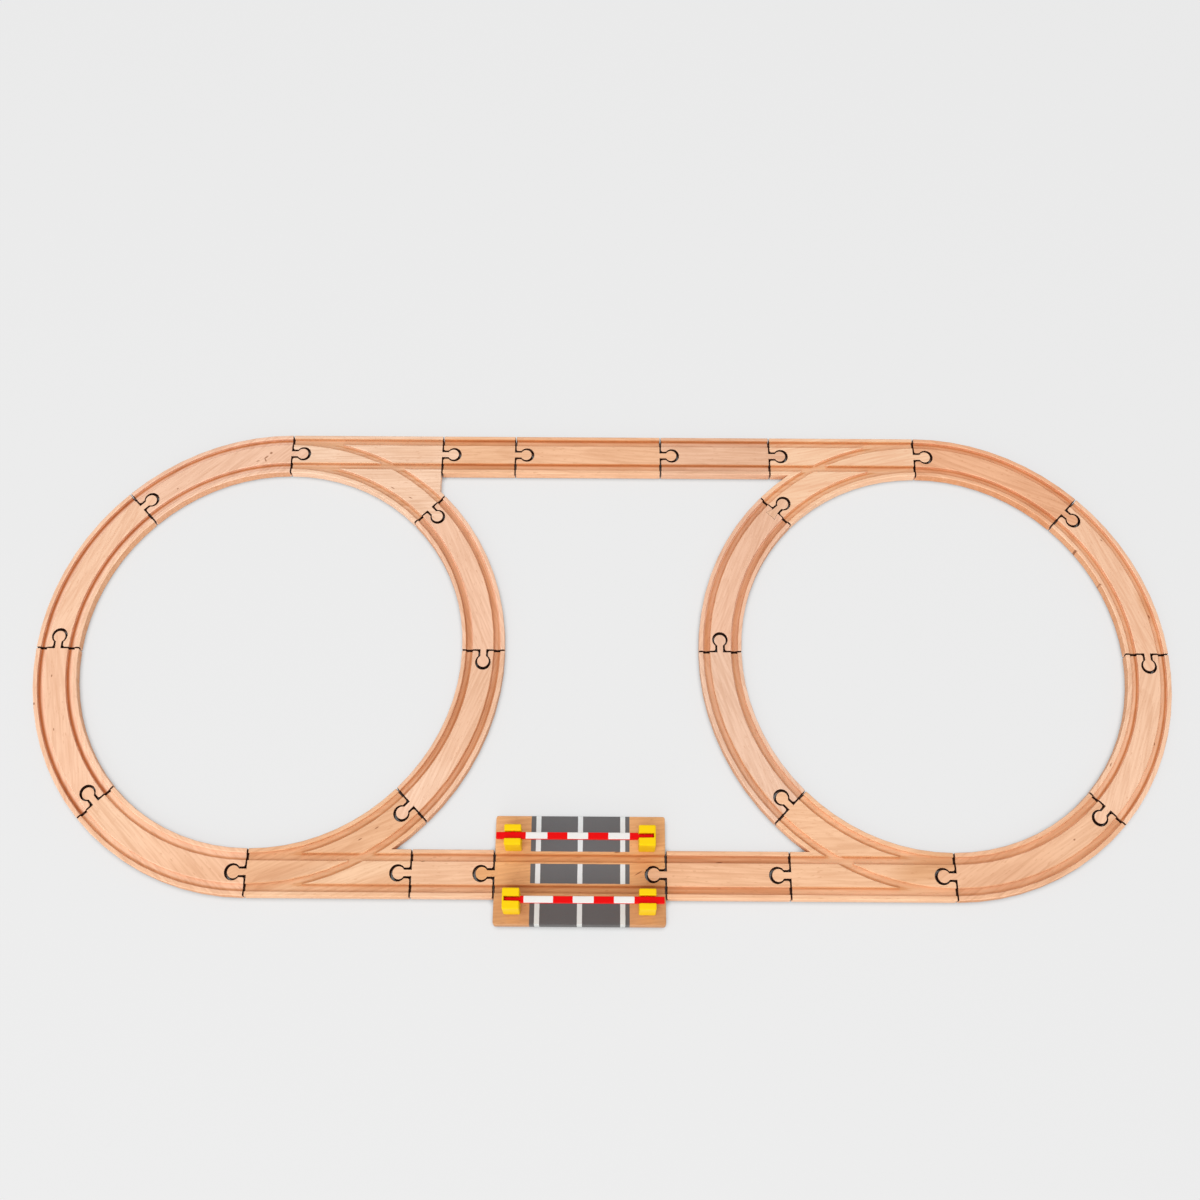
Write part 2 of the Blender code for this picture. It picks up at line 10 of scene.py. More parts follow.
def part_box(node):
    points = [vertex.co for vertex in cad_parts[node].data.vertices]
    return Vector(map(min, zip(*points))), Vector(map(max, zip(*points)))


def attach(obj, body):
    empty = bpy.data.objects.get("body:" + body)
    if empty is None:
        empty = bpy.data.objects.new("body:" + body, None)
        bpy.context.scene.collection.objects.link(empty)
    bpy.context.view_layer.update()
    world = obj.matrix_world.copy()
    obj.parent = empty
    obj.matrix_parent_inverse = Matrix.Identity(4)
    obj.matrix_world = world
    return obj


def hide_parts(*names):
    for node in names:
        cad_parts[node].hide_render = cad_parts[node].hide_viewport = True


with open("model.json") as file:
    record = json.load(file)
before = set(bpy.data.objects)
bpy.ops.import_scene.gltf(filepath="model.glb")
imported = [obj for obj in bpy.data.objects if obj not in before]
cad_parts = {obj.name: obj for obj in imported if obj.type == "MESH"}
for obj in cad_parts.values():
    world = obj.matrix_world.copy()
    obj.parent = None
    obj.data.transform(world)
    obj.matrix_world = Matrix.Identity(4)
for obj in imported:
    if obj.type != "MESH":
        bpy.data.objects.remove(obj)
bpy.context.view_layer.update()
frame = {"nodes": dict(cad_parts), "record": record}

# Sizes that the looks depend on, in metres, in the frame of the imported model.
TRACK_TOP = 0.012
GROOVE_FLOOR = 0.009
GROOVE_OFFSET = 0.013
GROOVE_HALF = 0.003
RING_CENTRES = {"left": (-0.31125, 0.011), "right": (0.31125, 0.011)}
RING_RADIUS = 0.199
RING_STEP = 45.0
RUN_PLACES = {"top": 0.2110864, "bottom": -0.1890864, "level": -0.1890864}
CROSSING_CENTRE = (-0.018, -0.1890864, 0.0)

# Rounding of the edges. An edge that turns less than the sharp angle stays smooth.
WELD_DISTANCE = 1e-6
FLAT_ANGLE = math.radians(1.0)
SHARP_ANGLE = math.radians(40.0)
POST_SHARP_ANGLE = math.radians(50.0)
WOOD_ROUNDING = 0.0008
WOOD_STEPS = 3
PLASTIC_ROUNDING = 0.0006
PLASTIC_STEPS = 3

# The camera that the photograph was taken with, fitted to the outlines of the track.
IMAGE_SIZE = 1200.0
CAMERA_PLACE = (0.001239, -0.446816, 1.47008)
CAMERA_PITCH = 30.05
CAMERA_TURN = 0.3672
FOCAL_PIXELS = 1588.94
AXIS_ROW = 295.0
SENSOR_WIDTH = 36.0
CLIP_START = 0.01
CLIP_END = 100.0

# The paper that the track lies on, and the light: name, place, size and power of each lamp.
FLOOR_LEVEL = -0.0002
FLOOR_HALF = 12.0
FLOOR_GREY = 0.838
FLOOR_EVENNESS = 0.85
FLOOR_OPEN = 0.88
CONTACT_REACH = 0.006
CONTACT_SAMPLES = 8
SKY_LEVEL = 0.58
LAMPS = (
    ("front_softbox", (-0.55, -1.5, 2.6), 2.4, 40.0),
    ("low_softbox", (-0.5, -2.6, 0.95), 1.6, 15.5),
    ("top_softbox", (-0.5, 0.2, 2.6), 2.6, 7.0),
)

# The place of each curve in its ring, clockwise from the top.
CURVE_PLACES = {
    "left_curve_1": 1, "left_curve_2": 2, "left_curve_3": 4,
    "left_curve_4": 5, "left_curve_5": 6, "left_curve_6": 7,
    "right_curve_1": 0, "right_curve_2": 1, "right_curve_3": 2,
    "right_curve_4": 3, "right_curve_5": 5, "right_curve_6": 6,
}
# Direction of the grain of the other pieces, in degrees.
STRAIGHT_GRAIN = {
    "inlaid_peg": 60.0,
    "top_left_turnout": 0.0,
    "top_right_turnout": 12.0,
    "bottom_left_turnout": 20.0,
    "bottom_right_turnout": 0.0,
    "top_short_straight": 3.0,
    "top_long_straight": -4.0,
    "top_medium_straight": 0.0,
    "bottom_short_straight": 2.0,
    "bottom_medium_straight": -2.0,
    "level_crossing_board": 6.0,
}
# How far the grain of some curves turns away from their chord, in degrees.
CHORD_TURN = {"left_curve_3": -20.0, "left_curve_4": -10.0, "left_curve_6": 19.0, "right_curve_4": 10.0}

# How much brown from the cutter and painted shade each piece has: on the floors of its grooves, and along
# their outer walls. A floor value below zero paints the floor lighter.
GROOVE_STAIN_AND_SHADE = {
    "left_curve_1": (0.62, 0.72), "left_curve_2": (0.62, 1.15), "left_curve_3": (-0.08, 0.45),
    "left_curve_4": (-0.08, 1.65), "left_curve_5": (-0.12, 1.70), "left_curve_6": (-0.05, 1.15),
    "right_curve_1": (0.22, 0.80), "right_curve_2": (0.25, 0.75), "right_curve_3": (0.12, 1.20),
    "right_curve_4": (0.18, 0.45), "right_curve_5": (0.35, 0.60), "right_curve_6": (0.58, 0.70),
    "top_left_turnout": (0.35, 0.75), "top_right_turnout": (0.25, 0.85),
    "bottom_left_turnout": (0.20, 0.65), "bottom_right_turnout": (0.10, 0.55),
    "top_short_straight": (0.45, 1.20), "top_long_straight": (0.12, 0.95),
    "top_medium_straight": (0.02, 0.95), "bottom_short_straight": (0.20, 0.72),
    "bottom_medium_straight": (0.64, 0.72), "level_crossing_board": (0.12, 0.72),
    "inlaid_peg": (0.25, 0.25),
}
BURN_AND_SHADE_REACH = 0.0020
WIDE_BURN_AND_SHADE = {"left_curve_4": 0.0034, "left_curve_5": 0.0034, "left_curve_6": 0.0026}
# Full browning; in the grooves it is painted shade as well.
FULL_STAIN_AND_SHADE = (0.67, 0.42, 0.23)
CURVE_SIDE_STAIN = 0.50
STRAIGHT_SIDE_STAIN = 0.0

# A tint for each piece of beech, on the finish that it shares with others.
PIECE_TONE = {
    "left_curve_2": (1.03, 1.10, 1.10), "left_curve_3": (1.05, 1.12, 1.22),
    "left_curve_4": (1.10, 1.20, 1.38), "left_curve_5": (1.08, 1.08, 1.10),
    "left_curve_6": (1.02, 1.02, 1.07), "right_curve_1": (0.99, 0.84, 0.73),
    "right_curve_2": (1.09, 1.05, 1.04), "right_curve_3": (1.09, 1.20, 1.37),
    "right_curve_4": (1.01, 1.03, 1.07), "right_curve_5": (1.02, 1.14, 1.22),
    "right_curve_6": (0.99, 0.96, 0.99), "top_left_turnout": (1.08, 1.27, 1.52),
    "top_short_straight": (1.05, 1.09, 1.11), "top_long_straight": (1.05, 1.07, 1.09),
    "top_medium_straight": (1.02, 1.06, 1.04), "top_right_turnout": (1.16, 1.10, 1.07),
    "bottom_left_turnout": (1.01, 1.04, 1.10), "bottom_short_straight": (0.98, 1.04, 1.10),
    "bottom_medium_straight": (1.03, 1.06, 1.08), "bottom_right_turnout": (1.02, 0.97, 0.88),
    "level_crossing_board": (1.13, 1.22, 1.19), "left_curve_1": (1.01, 1.00, 1.03),
}
PLAIN_TONE = (1.0, 1.0, 1.0)

# Pin knots and short dark marks: middle x and y, half length and half width in millimetres, and the
# direction in degrees.
WOOD_MARKS = {
    "left_curve_6": (
        (-332.5, 211.6, 1.5, 1.2, 20.0), (-336.8, 207.0, 2.6, 0.8, 40.0), (-337.4, 204.0, 2.2, 0.7, -60.0),
        (-344.8, 202.8, 1.8, 0.5, 20.0), (-420.9, 172.4, 1.0, 0.6, 40.0),
    ),
    "left_curve_4": (
        (-512.1, -16.1, 1.3, 0.6, -88.0), (-523.8, -42.4, 1.3, 0.9, -80.0), (-501.3, -65.9, 1.4, 0.5, -75.0),
    ),
    "right_curve_1": ((414.6, 155.4, 1.8, 0.8, -30.0),),
    "right_curve_2": (
        (459.1, 113.7, 2.6, 0.4, -42.0), (448.6, 134.7, 2.0, 0.4, -40.0), (485.4, 123.9, 1.5, 0.5, -50.0),
        (478.2, 79.2, 1.5, 0.4, -60.0), (520.0, 48.1, 1.8, 0.7, -70.0),
    ),
    "right_curve_3": ((504.9, -72.0, 1.4, 0.7, 70.0), (461.3, -91.6, 2.2, 0.5, 60.0)),
    "right_curve_4": ((419.1, -157.3, 1.0, 0.8, 20.0),),
    "top_left_turnout": ((-208.0, 174.7, 2.2, 0.5, -25.0), (-189.8, 164.3, 2.2, 0.5, -25.0)),
    "bottom_left_turnout": ((-198.8, -151.0, 2.2, 0.5, 30.0), (-212.9, -161.0, 2.2, 0.5, 30.0)),
    "bottom_short_straight": ((-156.1, -179.3, 2.0, 0.5, 5.0),),
    "bottom_medium_straight": ((104.3, -178.3, 3.0, 0.5, 5.0),),
    "level_crossing_board": ((14.8, -170.5, 3.0, 0.6, 8.0), (33.4, -188.0, 4.0, 0.5, 30.0)),
}
MARK_TINT = (0.45, 0.32, 0.24, 1.0)

# Paler sapwood and darker heartwood in a plank: middle, half sizes and direction as above, and a tint.
TONE_PATCHES = {
    "bottom_left_turnout": (
        (-280.0, -190.0, 36.0, 8.0, 8.0, (0.90, 0.84, 0.80)),
        (-222.0, -189.0, 85.0, 12.0, 13.0, (1.09, 1.22, 1.34)),
        (-230.0, -205.0, 85.0, 6.0, 1.0, (1.05, 1.10, 1.15)),
        (-208.0, -141.0, 36.0, 9.0, 36.0, (1.06, 1.14, 1.22)),
    ),
    "bottom_right_turnout": ((292.0, -181.0, 40.0, 14.0, 15.0, (0.84, 0.74, 0.62)),),
    "left_curve_2": ((-157.0, -116.0, 32.0, 16.0, 50.0, (1.06, 1.13, 1.20)),),
    "left_curve_3": (
        (-434.0, -145.0, 38.0, 16.0, -45.0, (1.04, 1.10, 1.14)),
        (-352.0, -192.0, 36.0, 11.0, -10.0, (0.96, 0.93, 0.90)),
    ),
    "right_curve_1": ((375.0, 168.0, 60.0, 9.0, -28.0, (1.06, 1.14, 1.20)),),
    "right_curve_2": ((517.0, 57.0, 16.0, 5.0, -70.0, (0.90, 0.80, 0.70)),),
    "right_curve_4": (
        (362.0, -190.0, 36.0, 11.0, 14.0, (0.95, 0.93, 0.92)),
        (422.0, -158.0, 35.0, 14.0, 40.0, (1.05, 1.10, 1.14)),
    ),
    "top_left_turnout": (
        (-186.0, 216.0, 34.0, 12.0, 0.0, (0.96, 0.92, 0.88)),
        (-293.0, 214.0, 30.0, 14.0, 0.0, (1.04, 1.09, 1.12)),
    ),
    "level_crossing_board": ((39.0, -182.0, 14.0, 10.0, 0.0, (0.95, 0.86, 0.80)),),
}


class Graph:
    """Adds nodes to one node tree. A value is a constant or another node's output."""

    def __init__(self, tree):
        self.tree = tree

    def feed(self, socket, value):
        if isinstance(value, bpy.types.NodeSocket):
            self.tree.links.new(value, socket)
        elif value is not None:
            socket.default_value = value

    def add(self, kind, named=None, *values, **settings):
        made = self.tree.nodes.new(kind)
        for name, value in settings.items():
            setattr(made, name, value)
        for socket, value in zip(made.inputs, values):
            self.feed(socket, value)
        for name, value in (named or {}).items():
            self.feed(made.inputs[name], value)
        return made

    def math(self, operation, *values):
        return self.add("ShaderNodeMath", None, *values, operation=operation).outputs[0]

    def vector(self, operation, *values):
        made = self.add("ShaderNodeVectorMath", None, *values, operation=operation)
        single = operation in ("LENGTH", "DISTANCE", "DOT_PRODUCT")
        return made.outputs["Value" if single else "Vector"]

    def split(self, vector):
        return self.add("ShaderNodeSeparateXYZ", None, vector).outputs

    def join(self, x, y, z):
        return self.add("ShaderNodeCombineXYZ", None, x, y, z).outputs[0]

    def between(self, value, low, high, start=0.0, end=1.0):
        """A soft step from start, where the value is low, to end, where it is high."""
        made = self.add(
            "ShaderNodeMapRange", None, value, low, high, start, end, interpolation_type="SMOOTHSTEP",
        )
        return made.outputs[0]

    def noise(self, vector, seed, scale=1.0, detail=2.0, roughness=0.5):
        named = {"Vector": vector, "W": seed, "Scale": scale, "Detail": detail, "Roughness": roughness}
        return self.add("ShaderNodeTexNoise", named, noise_dimensions="4D").outputs

    def stretched_noise(self, vector, scales, seed, detail=2.0):
        """Noise with its own scale along each axis."""
        return self.noise(self.vector("MULTIPLY", vector, scales), seed, detail=detail)["Fac"]

    def blend(self, factor, first, second, kind="MIX"):
        made = self.add("ShaderNodeMix", None, data_type="RGBA", blend_type=kind)
        self.feed(made.inputs[0], factor)
        self.feed(made.inputs[6], first)
        self.feed(made.inputs[7], second)
        return made.outputs[2]

    def tint(self, share, colour, tint):
        """The colour, multiplied by a tint where the share is 1."""
        return self.blend(share, colour, tint, "MULTIPLY")

    def attribute(self, name):
        return self.add("ShaderNodeAttribute", None, attribute_name=name).outputs["Fac"]

    def occlusion(self, reach, samples):
        """How open a point is to its surroundings within a reach, from 0 to 1."""
        return self.add("ShaderNodeAmbientOcclusion", {"Distance": reach}, samples=samples).outputs["AO"]

    def place(self):
        return self.add("ShaderNodeTexCoord").outputs["Object"]


def new_material(name):
    material = bpy.data.materials.new(name)
    material.use_nodes = True
    material.node_tree.nodes.clear()
    return material, Graph(material.node_tree)


def close_material(graph, colour, roughness, height, bump, specular):
    """Joins colour, roughness and height to one shader. The specular level is set on the shader itself."""
    strength, distance = bump
    raised = graph.add("ShaderNodeBump", {"Height": height, "Strength": strength, "Distance": distance})
    shader = graph.add("ShaderNodeBsdfPrincipled")
    graph.feed(shader.inputs["Base Color"], colour)
    graph.feed(shader.inputs["Roughness"], roughness)
    graph.feed(shader.inputs["Normal"], raised.outputs[0])
    shader.inputs["Specular IOR Level"].default_value = specular
    out = graph.add("ShaderNodeOutputMaterial")
    graph.feed(out.inputs["Surface"], shader.outputs[0])


# Beech

MILLIMETRE = 0.001
NOISE_MEAN = (0.5, 0.5, 0.5)
LIGHT_TONE = (1.08, 1.11, 1.13)
DARK_TONE = (0.88, 0.81, 0.75)
WOOD_SPECULAR = 0.3
WOOD_BUMP = (0.12, 0.0003)

# Growth rings: how they wander, how uneven the years are, and when late wood starts and is darkest.
WANDER_SCALE = (7.0, 28.0, 28.0)
WANDER_REACH = (0.0, 0.007, 0.007)
UNEVEN_SCALE = 0.7
UNEVEN_YEARS = 2.2
LATE_START = 0.55
LATE_PEAK = 0.93

# Figure: noise scales, the noise levels between which it shows, and how much it darkens the wood.
LATE_DEPTH = 0.32
FIBRE_SCALE = (30.0, 520.0, 520.0)
FIBRE_LEVELS = (0.38, 0.62)
FIBRE_DEPTH = 0.46
CLOUD_SCALE = (9.0, 34.0, 34.0)
CLOUD_LEVELS = (0.3, 0.7)
CLOUD_DEPTH = 0.34
FLECK_SCALE = (170.0, 800.0, 500.0)
FLECK_LEVELS = (0.62, 0.74)
FLECK_DEPTH = 0.8

# Browning and painted shade: streaks along the floor of a groove, and the scorch and painted shade over its
# lip and down its outer wall.
STREAK_SCALE = 420.0
STREAK_STRETCH = 0.02
STREAK_LEVELS = (0.25, 0.75)
STREAK_LEAST = 0.5
STREAK_MEAN = 0.75
FLOOR_BLUR = 0.0004
BURN_AND_SHADE_FOOT = GROOVE_FLOOR - 0.0004
BURN_AND_SHADE_FULL_FOOT = GROOVE_FLOOR - 0.0001
BURN_AND_SHADE_CORE = 0.2
LIP_BURN_AND_SHADE_START = -0.0002
LIP_BURN_AND_SHADE_END = -0.0014
ROAD_CLEARANCE = 0.0004

# Saw marks on the sides, rims paled by wear and a painted highlight, and painted shade in the gaps where two
# pieces butt.
CHATTER_SCALE = (420.0, 420.0, 45.0)
CHATTER_LEVELS = (0.3, 0.7)
CHATTER_LEAST = 0.7
RIM_WEAR_AND_HIGHLIGHT_TINT = (1.05, 1.06, 1.07, 1.0)
GAP_SHADE_TINT = (0.06, 0.025, 0.012, 1.0)
GAP_REACH = 0.004
GAP_SAMPLES = 12
GAP_OPEN = 0.98
GAP_CLOSED = 0.85
GAP_FOOT = GAP_REACH
GAP_FULL_FOOT = 1.4 * GAP_REACH
GAP_RIM = TRACK_TOP - 0.00003
GAP_FULL_RIM = TRACK_TOP - 0.0002

# Roughness and height that each part of the figure adds.
WOOD_ROUGHNESS = 0.36
FIBRE_ROUGHNESS = 0.22
GROOVE_ROUGHNESS = 0.12
SAWN_ROUGHNESS = 0.15
FLECK_HEIGHT = -0.6
LATE_HEIGHT = 0.25
SAWN_HEIGHT = 0.8

# Where marks and patches start to fade and where they end, in shares of their half sizes.
MARK_HEART = 0.5
MARK_RIM = 1.3
PATCH_HEART = 0.3
PATCH_RIM = 1.4

# Ranges from piece to piece, in metres where they are lengths.
PITH_ASIDE = (-0.03, 0.03)
PITH_LEVEL = (-0.05, -0.02)
LEAN_ASIDE = (-0.05, 0.05)
LEAN_UPWARD = (-0.09, 0.09)
RING_SPACING = (0.0030, 0.0048)
FIGURE_STRENGTH = (0.6, 1.0)

FIGURE_INPUTS = (
    ("Centre", "Vector"), ("Turn", "Float"), ("Pith", "Vector"), ("Lean", "Vector"), ("Spacing", "Float"),
    ("Seed", "Float"), ("Figure", "Float"), ("Tone", "Color"), ("Shade", "Color"), ("Across", "Float"),
    ("Inside", "Float"), ("Burn", "Float"), ("Floor", "Color"), ("Wall", "Color"), ("Side", "Color"),
)
FIGURE_OUTPUTS = (("Colour", "Color"), ("Roughness", "Float"), ("Height", "Float"))


def growth_rings(graph, given, turned):
    """Dark late wood at the end of each year, on rings about a pith that leans and wanders."""
    seed = given["Seed"]
    wander = graph.noise(graph.vector("MULTIPLY", turned, WANDER_SCALE), seed)["Color"]
    wander = graph.vector("SUBTRACT", wander, NOISE_MEAN)
    bent = graph.vector("ADD", turned, graph.vector("MULTIPLY", wander, WANDER_REACH))
    along = graph.split(bent)[0]
    lean = graph.vector("MULTIPLY", graph.join(along, along, along), given["Lean"])
    from_pith = graph.vector("ADD", graph.vector("SUBTRACT", bent, given["Pith"]), lean)
    from_pith = graph.vector("MULTIPLY", from_pith, (0.0, 1.0, 1.0))
    ring = graph.math("DIVIDE", graph.vector("LENGTH", from_pith), given["Spacing"])
    uneven = graph.noise(graph.join(ring, 0.0, 0.0), seed, scale=UNEVEN_SCALE, detail=1.0)["Fac"]
    year = graph.math("FRACT", graph.math("MULTIPLY_ADD", uneven, UNEVEN_YEARS, ring))
    darkens = graph.between(year, LATE_START, LATE_PEAK)
    ends = graph.between(year, LATE_PEAK, 1.0, 1.0, 0.0)
    return graph.math("MULTIPLY", darkens, ends)


def browned_and_shaded(graph, given, turned, level, colour):
    """The wood's colour, with browning and painted shade in streaks on the floors of its grooves and beside
    their outer walls.
    """
    stretched = graph.math("MULTIPLY", graph.split(turned)[0], STREAK_STRETCH)
    lengthwise = graph.join(given["Across"], stretched, 0.0)
    streaks = graph.noise(lengthwise, given["Seed"], scale=STREAK_SCALE)["Fac"]
    streak = graph.between(streaks, *STREAK_LEVELS, STREAK_LEAST, 1.0)
    on_floor = graph.between(given["Inside"], -FLOOR_BLUR, FLOOR_BLUR)
    on_floor = graph.math("MULTIPLY", graph.attribute("groove"), on_floor)
    # The floor tint browns the groove and paints shade into it; a floor value below zero paints light.
    colour = graph.tint(graph.math("MULTIPLY", on_floor, streak), colour, given["Floor"])
    # The band beside the outer walls is painted shade as well as scorching.
    burnt_and_shaded = graph.math("MULTIPLY", given["Burn"], graph.between(level, BURN_AND_SHADE_FOOT, BURN_AND_SHADE_FULL_FOOT))
    return graph.tint(burnt_and_shaded, colour, given["Wall"])


def closed_in(graph, level):
    """How far an end face is shut in by the piece that it butts against, which sets the painted shade in the
    gap. A lifted piece is open.
    """
    shut = graph.between(graph.occlusion(GAP_REACH, GAP_SAMPLES), GAP_OPEN, GAP_CLOSED)
    shut = graph.math("MULTIPLY", graph.attribute("butt"), shut)
    shut = graph.math("MULTIPLY", shut, graph.between(level, GAP_RIM, GAP_FULL_RIM))
    return graph.math("MULTIPLY", shut, graph.between(level, GAP_FOOT, GAP_FULL_FOOT))


def beech_group():
    """One node group for all the beech: figure, grooves with browning and painted shade, sawn sides, rims
    paled by wear and a painted highlight, and painted shade in the gaps.
    """
    tree = bpy.data.node_groups.new("beech_figure", "ShaderNodeTree")
    graph = Graph(tree)
    for name, kind in FIGURE_INPUTS:
        tree.interface.new_socket(name, in_out="INPUT", socket_type="NodeSocket" + kind)
    for name, kind in FIGURE_OUTPUTS:
        tree.interface.new_socket(name, in_out="OUTPUT", socket_type="NodeSocket" + kind)
    given = graph.add("NodeGroupInput").outputs
    seed = given["Seed"]
    place = graph.place()
    level = graph.split(place)[2]
    moved = graph.vector("SUBTRACT", place, given["Centre"])
    back = graph.math("MULTIPLY", given["Turn"], -1.0)
    turn = {"Vector": moved, "Angle": back}
    turned = graph.add("ShaderNodeVectorRotate", turn, rotation_type="Z_AXIS").outputs[0]

    late = growth_rings(graph, given, turned)
    fibre = graph.stretched_noise(turned, FIBRE_SCALE, seed)
    cloud = graph.stretched_noise(turned, CLOUD_SCALE, seed)
    fleck = graph.between(graph.stretched_noise(turned, FLECK_SCALE, seed, detail=1.0), *FLECK_LEVELS)
    depth = graph.math("MULTIPLY", late, graph.math("MULTIPLY", given["Figure"], LATE_DEPTH))
    depth = graph.math("MULTIPLY_ADD", graph.between(fibre, *FIBRE_LEVELS), FIBRE_DEPTH, depth)
    depth = graph.math("MULTIPLY_ADD", graph.between(cloud, *CLOUD_LEVELS), CLOUD_DEPTH, depth)
    depth = graph.math("MULTIPLY_ADD", fleck, FLECK_DEPTH, depth)
    colour = graph.blend(graph.math("MINIMUM", depth, 1.0), given["Tone"], given["Shade"])

    colour = browned_and_shaded(graph, given, turned, level, colour)
    side = graph.attribute("side")
    chatter = graph.stretched_noise(turned, CHATTER_SCALE, seed, detail=3.0)
    sawn = graph.math("MULTIPLY", side, graph.between(chatter, *CHATTER_LEVELS, CHATTER_LEAST, 1.0))
    colour = graph.tint(sawn, colour, given["Side"])
    # Rounded edges are paler: edge wear and a painted highlight.
    colour = graph.tint(graph.attribute("edge"), colour, RIM_WEAR_AND_HIGHLIGHT_TINT)
    shut = closed_in(graph, level)
    # Painted shade in the gap between butting pieces.
    colour = graph.tint(shut, colour, GAP_SHADE_TINT)

    roughness = graph.math("MULTIPLY_ADD", fibre, FIBRE_ROUGHNESS, WOOD_ROUGHNESS)
    roughness = graph.math("MULTIPLY_ADD", graph.attribute("groove"), GROOVE_ROUGHNESS, roughness)
    roughness = graph.math("MULTIPLY_ADD", sawn, SAWN_ROUGHNESS, roughness)
    roughness = graph.math("MAXIMUM", roughness, shut)
    height = graph.math("MULTIPLY_ADD", fleck, FLECK_HEIGHT, fibre)
    height = graph.math("MULTIPLY_ADD", late, LATE_HEIGHT, height)
    height = graph.math("MULTIPLY_ADD", graph.math("MULTIPLY", side, chatter), SAWN_HEIGHT, height)
    out = graph.add("NodeGroupOutput")
    graph.feed(out.inputs["Colour"], colour)
    graph.feed(out.inputs["Roughness"], roughness)
    graph.feed(out.inputs["Height"], height)
    return tree


BEECH = beech_group()
RECORD = frame["record"]
SLOT_COLOURS = {entry["slot"]: entry["base_color"] for entry in RECORD["materials"]}
NODE_SLOTS = {entry["node"]: entry["material_slot"] for entry in RECORD["subparts"]}
NODE_BODIES = {node: body for body, nodes in RECORD["behaviour"]["bodies"].items() for node in nodes}
POSTS = [node for node in NODE_SLOTS if node.endswith("_post")]
SEED_STEP = 3.7
HASH_TURNS = (12.9898, 78.233)
HASH_SPAN = 43758.5453
SEEDS = {node: SEED_STEP * place for place, node in enumerate(sorted(NODE_SLOTS))}


def opaque(tint):
    return tuple(tint) + (1.0,)


def tinted(colour, tint):
    return opaque(min(1.0, value * share) for value, share in zip(colour, tint))


def grain_turn(node):
    if node in CURVE_PLACES:
        return math.radians(CHORD_TURN.get(node, 0.0) - RING_STEP * (CURVE_PLACES[node] + 0.5))
    return math.radians(STRAIGHT_GRAIN[node])


def stain_and_shade(strength):
    """A tint that multiplies the colour of the wood, from clear at 0 to full brown at 1 and beyond. In the
    grooves it is painted shade as well as browning, and below 0 it paints the wood lighter.
    """
    return opaque(value ** strength for value in FULL_STAIN_AND_SHADE)


def track_places(graph, node):
    """Distances from the middle of each road on a piece, in metres."""
    side = "left" if "left" in node else "right"
    x, y = RING_CENTRES[side]
    flat = graph.vector("MULTIPLY", graph.place(), (1.0, 1.0, 0.0))
    round_road = graph.math("SUBTRACT", graph.vector("DISTANCE", flat, (x, y, 0.0)), RING_RADIUS)
    if node in CURVE_PLACES or node == "inlaid_peg":
        return [round_road]
    run = RUN_PLACES[node.split("_")[0]]
    straight_road = graph.math("SUBTRACT", graph.split(graph.place())[1], run)
    if node.endswith("_turnout"):
        return [straight_road, round_road]
    return [straight_road]


def inside_groove(graph, road):
    """How far a point lies inside the nearest groove of a road, in metres."""
    off_middle = graph.math("SUBTRACT", graph.math("ABSOLUTE", road), GROOVE_OFFSET)
    return graph.math("SUBTRACT", GROOVE_HALF, graph.math("ABSOLUTE", off_middle))


def beside_outer_wall(graph, road, reach):
    """A band along the outer wall of both grooves of a road, from its lip to some way in over the floor."""
    outward_sign = graph.math("SIGN", road)
    off_middle = graph.math("MULTIPLY_ADD", outward_sign, -GROOVE_OFFSET, road)
    from_wall = graph.math("SUBTRACT", GROOVE_HALF, off_middle)
    over_lip = graph.between(from_wall, LIP_BURN_AND_SHADE_END, LIP_BURN_AND_SHADE_START)
    return graph.math("MULTIPLY", over_lip, graph.between(from_wall, reach, BURN_AND_SHADE_CORE * reach))


def groove_masks(graph, node):
    """Where a point lies across its road, how far inside a groove, and how much of the scorch and painted
    shade reaches it.
    """
    roads = track_places(graph, node)
    depths = [inside_groove(graph, road) for road in roads]
    bands = [beside_outer_wall(graph, road, WIDE_BURN_AND_SHADE.get(node, BURN_AND_SHADE_REACH)) for road in roads]
    if len(roads) == 1:
        return roads[0], depths[0], bands[0]
    clear = [graph.between(depth, ROAD_CLEARANCE, -ROAD_CLEARANCE) for depth in depths]
    first = graph.math("MULTIPLY", bands[0], clear[1])
    second = graph.math("MULTIPLY", bands[1], clear[0])
    return roads[0], graph.math("MAXIMUM", *depths), graph.math("MAXIMUM", first, second)


def varied(node, salt, low, high):
    """A fixed number between low and high that differs from piece to piece."""
    by_seed, by_salt = HASH_TURNS
    turn = math.sin(SEEDS[node] * by_seed + salt * by_salt) * HASH_SPAN
    return low + (high - low) * (turn - math.floor(turn))


def spindle(graph, shape, heart, rim):
    """A spindle on the wood that fades from its heart to its rim, in shares of its half sizes."""
    x, y, half_length, half_width, turn = shape
    moved = graph.vector("SUBTRACT", graph.place(), (x * MILLIMETRE, y * MILLIMETRE, 0.0))
    along = Vector((math.cos(math.radians(turn)), math.sin(math.radians(turn)), 0.0))
    across = Vector((-along.y, along.x, 0.0))
    long_way = graph.vector("DOT_PRODUCT", moved, tuple(along / (half_length * MILLIMETRE)))
    short_way = graph.vector("DOT_PRODUCT", moved, tuple(across / (half_width * MILLIMETRE)))
    return graph.between(graph.vector("LENGTH", graph.join(long_way, short_way, 0.0)), rim, heart)


